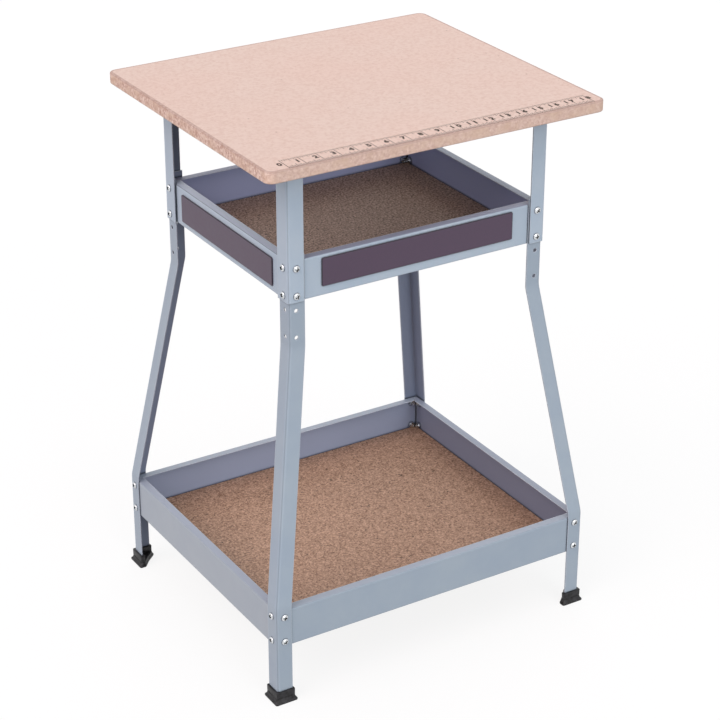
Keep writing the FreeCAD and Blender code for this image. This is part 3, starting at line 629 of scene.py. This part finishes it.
def digit_mesh(digit):
    """A digit as a closed, thin solid, DIGIT_HIGH tall and centred on the origin."""
    curve = bpy.data.curves.new("digit", "FONT")
    curve.body = digit
    curve.size = 1.0
    curve.resolution_u = 3
    curve.extrude = 0.5
    curve.offset = DIGIT_BOLD
    text = bpy.data.objects.new("digit", curve)
    bpy.context.scene.collection.objects.link(text)
    depsgraph = bpy.context.evaluated_depsgraph_get()
    mesh = bpy.data.meshes.new_from_object(text.evaluated_get(depsgraph), depsgraph=depsgraph)
    bpy.data.objects.remove(text)
    low = [min(v.co[axis] for v in mesh.vertices) for axis in range(3)]
    high = [max(v.co[axis] for v in mesh.vertices) for axis in range(3)]
    middle = Vector([(a + b) / 2 for a, b in zip(low, high)])
    scale = DIGIT_HIGH / (high[1] - low[1])
    mesh.transform(Matrix.Diagonal((scale, scale, INK_HIGH, 1.0)) @ Matrix.Translation(-middle))
    return mesh


def make_rule(finish):
    """The inch rule along the front edge: ticks from both sides, a line at each inch, and the numbers."""
    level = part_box("top_board")[1].z + INK_HIGH / 2 - INK_SUNK
    rows = [(0.0, 1.0, RULE_INCHES + 1, (RULE_BACK + RULE_FRONT) / 2, RULE_BACK - RULE_FRONT, INCH_LINE)]
    for side_ticks, side, inwards in ((BACK_TICKS, RULE_BACK, -1), (FRONT_TICKS, RULE_FRONT, 1)):
        for first, step, length_mm, width_mm in side_ticks:
            middle = side + inwards * length_mm * MM / 2
            rows.append((first, step, round(RULE_INCHES / step), middle, length_mm * MM, width_mm * MM))
    ticks = tick_tree(finish)
    parts = []
    for first, step, count, middle, length, width in rows:
        row = {"First": RULE_START + first * INCH, "Step": step * INCH, "Count": float(count),
               "Middle": middle, "Level": level, "Length": length, "Ink width": width,
               "Ink height": INK_HIGH}
        parts.append(mesh_by(ticks, row, bpy.data.meshes.new("no_seats")))
    for inch in range(RULE_INCHES + 1):
        for digit, shift in zip(str(inch), ONE_DIGIT if inch < 10 else TWO_DIGITS):
            number = digit_mesh(digit)
            number.transform(Matrix.Translation((RULE_START + inch * INCH + shift, DIGIT_MIDDLE, level)))
            parts.append(number)
    print_mesh = bmesh.new()
    for part in parts:
        print_mesh.from_mesh(part)
        bpy.data.meshes.remove(part)
    bmesh.ops.remove_doubles(print_mesh, verts=print_mesh.verts, dist=WELD)
    bmesh.ops.recalc_face_normals(print_mesh, faces=print_mesh.faces)
    mesh = bpy.data.meshes.new("printed_rule")
    print_mesh.to_mesh(mesh)
    print_mesh.free()
    mesh.materials.append(finish)
    piece = new_piece("printed_rule", mesh)
    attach(piece, UPPER)


FOOT_WALL = 2.4 * MM
FOOT_SLOT = 0.1 * MM
FOOT_FLOOR = 3.0 * MM
FLANGE = 23.5 * MM
ANGLE_FOLD = 4.0 * MM
# The boot from the floor up, in mm: height, and how far it stands out from the sleeve.
BASE_RINGS = ((0.0, 2.3), (0.25, 2.8), (0.8, 3.0), (2.3, 3.0), (2.7, 2.85), (2.95, 2.5), (4.2, 1.5),
              (5.8, 0.75), (7.4, 0.45), (7.7, 0.3))
SLEEVE_RINGS = ((7.9, -0.15), (8.5, -0.15), (8.8, 0.0), (13.0, 0.05), (17.5, 0.12), (18.1, 0.0),
                (18.4, -0.35), (18.5, -0.8))
BASE_ROUND = 2.6 * MM
SLEEVE_ROUND = 1.1 * MM
BASE_HOLLOW = 0.8 * MM
ROUND_STEPS = 5


def rounded_outline(corners, radius):
    """A closed outline with every corner, outer or inner, rounded to this radius."""
    ring = []
    for i, corner in enumerate(corners):
        before = (corners[i - 1] - corner).normalized()
        after = (corners[(i + 1) % len(corners)] - corner).normalized()
        half_angle = before.angle(after) / 2
        centre = corner + (before + after).normalized() * radius / math.sin(half_angle)
        first = corner + before * radius / math.tan(half_angle) - centre
        last = corner + after * radius / math.tan(half_angle) - centre
        start = math.atan2(first.y, first.x)
        sweep = (math.atan2(last.y, last.x) - start + math.pi) % math.tau - math.pi
        for step in range(ROUND_STEPS):
            angle = start + sweep * step / (ROUND_STEPS - 1)
            ring.append(centre + Vector((math.cos(angle), math.sin(angle))) * radius)
    return ring


def boot_ring(grow, is_base):
    """The boot's outline about a leg's fold: three-cornered at the base, an angle around the leg above."""
    low = -FOOT_WALL - grow
    far = FLANGE + FOOT_WALL + grow
    arm = LEG_STEEL + FOOT_WALL
    if is_base:
        inner = (arm + far) / 2 - BASE_HOLLOW
        tip = arm
    else:
        inner = arm + grow
        tip = arm + grow
    corners = ((low, low), (far, low), (far, tip), (inner, inner), (tip, far), (low, far))
    return rounded_outline([Vector(c) for c in corners], BASE_ROUND if is_base else SLEEVE_ROUND)


def slot_ring():
    """The leg's angle section with its clearance, the hole in the boot's top."""
    far = FLANGE + FOOT_SLOT
    thick = LEG_STEEL + FOOT_SLOT
    outer = ANGLE_FOLD + FOOT_SLOT
    inner = ANGLE_FOLD - thick
    fold = Vector((ANGLE_FOLD, ANGLE_FOLD))
    turns = [math.pi + math.pi / 2 * step / ROUND_STEPS for step in range(ROUND_STEPS + 1)]
    ring = [fold + Vector((math.cos(a), math.sin(a))) * outer for a in turns]
    ring += [Vector((far, -FOOT_SLOT)), Vector((far, thick))]
    ring += [fold + Vector((math.cos(a), math.sin(a))) * inner for a in reversed(turns)]
    ring += [Vector((thick, far)), Vector((-FOOT_SLOT, far))]
    return ring


def make_foot(corner, side_x, side_y, finish):
    """A moulded boot: flared base, a groove, and a sleeve with a rounded rim around the leg's end."""
    low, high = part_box("lower_leg_" + corner)
    fold = Vector((high.x if side_x > 0 else low.x, high.y if side_y > 0 else low.y, 0.0))
    outlines = [(boot_ring(grow * MM, True), height * MM) for height, grow in BASE_RINGS]
    outlines += [(boot_ring(grow * MM, False), height * MM) for height, grow in SLEEVE_RINGS]
    rim = outlines[-1][1]
    foot = bmesh.new()
    rings = [[foot.verts.new((*point, height)) for point in ring] for ring, height in outlines]
    mouth, socket = [[foot.verts.new((*point, height)) for point in slot_ring()]
                     for height in (rim, FOOT_FLOOR)]
    for lower, upper in [*zip(rings, rings[1:]), (mouth, socket)]:
        for i in range(len(lower)):
            foot.faces.new((lower[i - 1], lower[i], upper[i], upper[i - 1]))
    foot.faces.new(rings[0])
    foot.faces.new(socket)
    border = [edge for edge in foot.edges if edge.is_boundary]
    bmesh.ops.triangle_fill(foot, edges=border, use_beauty=True)
    foot.transform(Matrix.Translation(fold) @ Matrix.Diagonal((-side_x, -side_y, 1.0, 1.0)))
    bmesh.ops.recalc_face_normals(foot, faces=foot.faces)
    if foot.calc_volume(signed=True) < 0:
        bmesh.ops.reverse_faces(foot, faces=foot.faces)
    mesh = bpy.data.meshes.new("foot")
    foot.to_mesh(mesh)
    foot.free()
    mesh.materials.append(finish)
    shade(mesh, sharp_angle=40)
    piece = new_piece("rubber_boot_" + corner, mesh)
    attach(piece, LOWER)
    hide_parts("foot_" + corner)


def dress_nodes():
    """Give every carried-over node its finish."""
    magnet = flexible_magnet()
    finishes = {"top_board": sanded_fibreboard(),
                "magnetic_strip_front": magnet,
                "magnetic_strip_left": magnet,
                # The upper tray's hardboard is a darker, greyer copy of the same board: painted shade, for
                # the shadow of the top over it.
                "upper_tray_hardboard": pressed_hardboard("pressed_hardboard_upper_shaded", "#503D34", "#C8AC99"),
                "lower_tray_hardboard": pressed_hardboard("pressed_hardboard_lower", "#7D5B45", "#CAA68D")}
    # The upper frame's coat is a little paler, and the lower tray's sides are a little warmer than its front
    # and rear: painted light, for the light that falls differently on them.
    upper_coat = ("#B4C5D5", "#BDCBD8")
    lower_coat = ("#A2B1C0", "#A9B7C3")
    side_lit_coat = ("#A9B4BF", "#B0BAC3")
    upper_angles = powder_coated_steel("powder_coated_upper_angles", *upper_coat,
                                       inside_shade_tone="#6B7588", lip_shade_tone="#ACBACD", fold_shade_share=0.3)
    upper_panels = powder_coated_steel("powder_coated_upper_panels", *upper_coat,
                                       inside_shade_tone="#A5AED2", lip_shade_tone="#959BB4", fold_shade_share=0.0)
    upper_sides = powder_coated_steel("powder_coated_upper_sides", *upper_coat,
                                      inside_shade_tone="#A5AED2", lip_shade_tone="#ACBACD", fold_shade_share=0.7)
    lower_angles = powder_coated_steel("powder_coated_lower_angles", *lower_coat,
                                       inside_shade_tone="#808AA0", lip_shade_tone="#9FA9B7", fold_shade_share=0.3)
    lower_panels = powder_coated_steel("powder_coated_lower_panels", *lower_coat,
                                       inside_shade_tone="#97A2BB", lip_shade_tone="#9FA9B7", fold_shade_share=0.25)
    lower_sides = powder_coated_steel("powder_coated_lower_sides", *side_lit_coat,
                                      inside_shade_tone="#7F869C", lip_shade_tone="#9AA3B3", fold_shade_share=0.25)
    for corner, _, _ in CORNERS:
        finishes["upper_leg_" + corner] = upper_angles
        finishes["lower_leg_" + corner] = lower_angles
    for side, upper, lower in (("front", upper_panels, lower_panels), ("rear", upper_panels, lower_panels),
                               ("left", upper_sides, lower_sides), ("right", upper_sides, lower_sides)):
        finishes[f"upper_tray_{side}_panel"] = upper
        finishes[f"lower_tray_{side}_panel"] = lower
    for name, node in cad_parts.items():
        node.data.materials.clear()
        if name in finishes:
            node.data.materials.append(finishes[name])


FLOOR_HALF = 30.0


def shown_rays(tree):
    """1 for the rays that look at the surroundings: the camera's, and those of gloss and glass."""
    path = add(tree, "ShaderNodeLightPath").outputs
    looked = add(tree, "ShaderNodeMath", {0: path["Is Camera Ray"], 1: path["Is Glossy Ray"]},
                 operation="MAXIMUM")
    return add(tree, "ShaderNodeMath", {0: looked, 1: path["Is Transmission Ray"]}, operation="MAXIMUM")


def make_floor():
    """A pale floor that reads as white to the camera and keeps a faint shadow of the bench."""
    material, tree, shader, _ = new_finish("pale_floor", {"Roughness": 0.9})
    seen = shown_rays(tree)
    tone = add(tree, "ShaderNodeMix", {"Factor": seen, "A": srgb("#8A8A8C"), "B": srgb("#FDFDFD")},
               data_type="RGBA")
    feed(tree, shader, {"Base Color": tone})
    share = add(tree, "ShaderNodeMapRange", {"Value": seen, "To Max": 0.85})
    white = add(tree, "ShaderNodeEmission", {"Color": (1.0, 1.0, 1.0, 1.0), "Strength": 1.0})
    lit = add(tree, "ShaderNodeMixShader", {0: share, 1: shader, 2: white})
    feed(tree, tree.nodes["Material Output"], {"Surface": lit})
    mesh = bpy.data.meshes.new("floor")
    corners = [(x * FLOOR_HALF, y * FLOOR_HALF, 0.0) for x, y in ((-1, -1), (1, -1), (1, 1), (-1, 1))]
    mesh.from_pydata(corners, [], [(0, 1, 2, 3)])
    mesh.materials.append(material)
    new_piece("floor", mesh)


def add_lamp(name, azimuth, elevation, strength, spread, tint="#FFFFFF"):
    """A distant soft lamp; azimuth 0 is at the front, and positive is to the right."""
    lamp = bpy.data.lights.new(name, "SUN")
    lamp.energy = strength
    lamp.angle = math.radians(spread)
    lamp.color = srgb(tint)[:3]
    turn = math.radians(azimuth)
    lift = math.radians(elevation)
    towards = Vector((math.sin(turn) * math.cos(lift), -math.cos(turn) * math.cos(lift), math.sin(lift)))
    obj = bpy.data.objects.new(name, lamp)
    obj.rotation_euler = (-towards).to_track_quat("-Z", "Y").to_euler()
    bpy.context.scene.collection.objects.link(obj)


def light_scene():
    """Large soft lamps, mostly from the front and the left, in a bright even room that reflects as white."""
    add_lamp("front", azimuth=0, elevation=20, strength=0.9, spread=30)
    add_lamp("front_high", azimuth=15, elevation=48, strength=0.2, spread=40)
    add_lamp("key_left", azimuth=-78, elevation=42, strength=1.65, spread=50, tint="#FFEDEB")
    add_lamp("overhead", azimuth=0, elevation=88, strength=0.3, spread=60)
    add_lamp("rear_right", azimuth=145, elevation=25, strength=0.35, spread=50)
    world = bpy.data.worlds.new("studio")
    bpy.context.scene.world = world
    world.use_nodes = True
    tree = world.node_tree
    seen = shown_rays(tree)
    level = add(tree, "ShaderNodeMapRange", {"Value": seen, "To Min": 0.5, "To Max": 1.0})
    tone = add(tree, "ShaderNodeMix", {"Factor": seen, "A": srgb("#F8FAFF"), "B": srgb("#FFFFFF")},
               data_type="RGBA")
    feed(tree, tree.nodes["Background"], {"Color": tone, "Strength": level})


# The photograph's camera, fitted with the dimensions: a 36 mm sensor behind a long lens.
CAMERA_PLACE = Vector((-1.4273, -2.3544, 1.7302))
CAMERA_RIGHT = Vector((0.85340, -0.52125, 0.00081))
CAMERA_DOWN = Vector((-0.23116, -0.37984, -0.89570))
CAMERA_FORWARD = Vector((0.46719, 0.76421, -0.44465))
CAMERA_LENS = 108.74
CAMERA_SENSOR = 36.0
CAMERA_FAR = 100.0


def add_camera():
    """The fitted camera, as the scene's own."""
    camera = bpy.data.cameras.new("camera")
    camera.lens = CAMERA_LENS
    camera.sensor_width = CAMERA_SENSOR
    camera.clip_end = CAMERA_FAR
    obj = bpy.data.objects.new("camera", camera)
    turn = Matrix((CAMERA_RIGHT, -CAMERA_DOWN, -CAMERA_FORWARD)).transposed()
    obj.matrix_world = Matrix.Translation(CAMERA_PLACE) @ turn.to_4x4()
    bpy.context.scene.collection.objects.link(obj)
    bpy.context.scene.camera = obj


bpy.context.scene.view_settings.view_transform = "Standard"
dress_nodes()
make_fasteners(bright_zinc())
make_rule(rule_ink())
rubber = moulded_rubber()
for corner, side_x, side_y in CORNERS:
    make_foot(corner, side_x, side_y, rubber)
make_floor()
light_scene()
add_camera()
